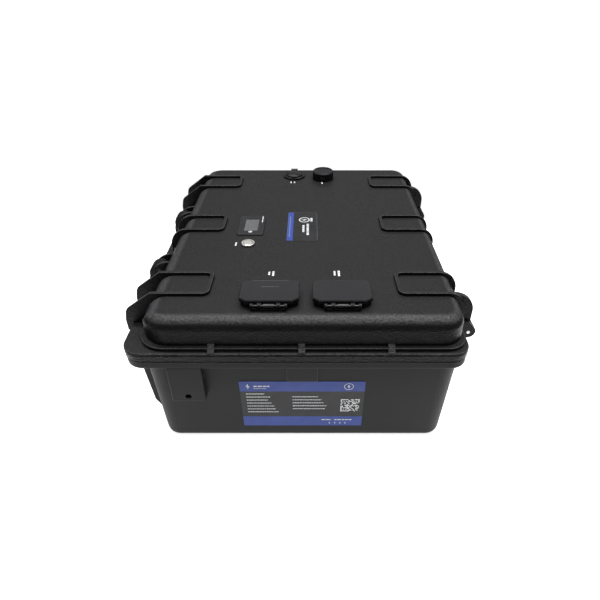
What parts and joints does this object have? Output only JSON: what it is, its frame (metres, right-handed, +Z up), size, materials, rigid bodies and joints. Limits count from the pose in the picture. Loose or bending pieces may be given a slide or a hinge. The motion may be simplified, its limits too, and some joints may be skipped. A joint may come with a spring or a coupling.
{
  "type": "battery pack",
  "caption": "Rechargeable battery pack in a hinged moulded case with latches, carry handle, covered power sockets, display, push switch, USB socket and screw-capped charging socket.",
  "frame": {"origin": "middle of the flat underside, on the centre plane of the base and midway along it", "axes": "+X to the hinge side, -X to the latch side, +Y to the end with the USB and charging sockets, +Z up"},
  "size_m": [0.4199, 0.4736, 0.2116],
  "materials": {
    "case_plastic": "fine moulded grain, semi-matte black",
    "fitting_plastic": "smooth satin black",
    "seal_rubber": "matte black rubber",
    "bright_steel": "bright steel",
    "switch_metal": "nickel-plated brass",
    "label_film": "printed film, blue bands on black",
    "key_plastic": "white gloss key",
    "screen": "grey display screen",
    "board": "green circuit board",
    "port_plastic": "black moulded insert",
    "connector_plastic": "grey moulded connector housing",
    "contact_metal": "silver-plated contacts",
    "copper": "tinned copper bar",
    "plate_aluminium": "anodised aluminium",
    "strap_steel": "steel band",
    "foam": "closed-cell foam",
    "sheet_insulation": "glass-fibre insulating sheet",
    "cell_film": "blue insulating film",
    "fuse_plastic": "moulded fuse holder"
  },
  "bodies": {
    "base": {"base_shell": "case_plastic", "rim_seal": "seal_rubber", "hinge_pins": "bright_steel", "front_label": "label_film", "handle_pins": "bright_steel", "busbars": "copper", "terminal_nuts": "bright_steel", "end_plates": "plate_aluminium", "pack_straps": "strap_steel", "foam_pads": "foam", "row_divider": "sheet_insulation", "cell_cover": "sheet_insulation", "bms_housing": "plate_aluminium", "bms_screws": "bright_steel", "negative_bar": "copper", "positive_bar": "copper", "main_fuse": "fuse_plastic", "cell_pair_1": "cell_film", "cell_pair_2": "cell_film", "cell_pair_3": "cell_film", "cell_pair_4": "cell_film", "cell_pair_5": "cell_film", "cell_pair_6": "cell_film", "cell_pair_7": "cell_film", "cell_pair_8": "cell_film"},
    "lid": {"lid_shell": "case_plastic", "top_label": "label_film", "latch_pins": "bright_steel", "cover_pins": "bright_steel", "cover_springs": "bright_steel", "connector_contacts": "contact_metal", "frame_screws": "bright_steel", "display_bezel": "fitting_plastic", "display_window": "screen", "display_board": "board", "switch_body": "switch_metal", "switch_gasket": "seal_rubber", "switch_nut": "switch_metal", "usb_body": "fitting_plastic", "usb_ports": "port_plastic", "usb_nut": "fitting_plastic", "charge_body": "fitting_plastic", "charge_insert": "port_plastic", "charge_nut": "fitting_plastic", "socket_frame_left": "fitting_plastic", "socket_frame_right": "fitting_plastic", "power_connector_left": "connector_plastic", "power_connector_right": "connector_plastic"},
    "latch_front": {"latch_front": "case_plastic"},
    "latch_rear": {"latch_rear": "case_plastic"},
    "handle": {"carry_handle": "case_plastic"},
    "cover_left": {"socket_cover_left": "fitting_plastic"},
    "cover_right": {"socket_cover_right": "fitting_plastic"},
    "usb_cap": {"usb_cap": "fitting_plastic"},
    "cap_liner": {"charge_liner": "seal_rubber"},
    "charge_cap": {"charge_cap": "fitting_plastic"},
    "switch_button": {"switch_button": "switch_metal"},
    "display_key": {"display_key": "key_plastic"}
  },
  "joints": [
    {"name": "lid_hinge", "type": "hinge", "parent": "base", "child": "lid", "pos_m": [0.2, 0, 0.144], "axis": [0, 1, 0], "range_deg": [0, 100]},
    {"name": "latch_front_swing", "type": "hinge", "parent": "lid", "child": "latch_front", "pos_m": [-0.1905, -0.075, 0.173], "axis": [0, 1, 0], "range_deg": [0, 110]},
    {"name": "latch_rear_swing", "type": "hinge", "parent": "lid", "child": "latch_rear", "pos_m": [-0.1905, 0.075, 0.173], "axis": [0, 1, 0], "range_deg": [0, 110]},
    {"name": "handle_swing", "type": "hinge", "parent": "base", "child": "handle", "pos_m": [-0.192, 0, 0.125], "axis": [0, 1, 0], "range_deg": [0, 90]},
    {"name": "cover_left_flip", "type": "hinge", "parent": "lid", "child": "cover_left", "pos_m": [-0.036, -0.2079, 0.2034], "axis": [1, 0, 0], "range_deg": [0, 110], "stiffness_Nm_per_rad": 0.01, "springref_deg": -34.38},
    {"name": "cover_right_flip", "type": "hinge", "parent": "lid", "child": "cover_right", "pos_m": [0.045, -0.2079, 0.2034], "axis": [1, 0, 0], "range_deg": [0, 110], "stiffness_Nm_per_rad": 0.01, "springref_deg": -34.38},
    {"name": "usb_cap_flip", "type": "hinge", "parent": "lid", "child": "usb_cap", "pos_m": [-0.0176, 0.2007, 0.2029], "axis": [-1, 0, 0], "range_deg": [0, 110]},
    {"name": "charge_cap_lift", "type": "slide", "parent": "lid", "child": "cap_liner", "axis": [0, 0, 1], "range_m": [0, 0.006]},
    {"name": "charge_cap_turn", "type": "hinge", "parent": "cap_liner", "child": "charge_cap", "pos_m": [0.0325, 0.1753, 0.2046], "axis": [0, 0, 1], "range_deg": [0, 1084]},
    {"name": "switch_press", "type": "slide", "parent": "lid", "child": "switch_button", "axis": [0, 0, -1], "range_m": [0, 0.0016], "stiffness_N_per_m": 800, "springref_m": -0.001},
    {"name": "display_key_press", "type": "slide", "parent": "lid", "child": "display_key", "axis": [0, 0, -1], "range_m": [0, 0.0006], "stiffness_N_per_m": 600, "springref_m": -0.001}
  ],
  "couplings": [
    {"joint": "charge_cap_turn", "follows": "charge_cap_lift", "rad_per_m": 3141.6}
  ]
}
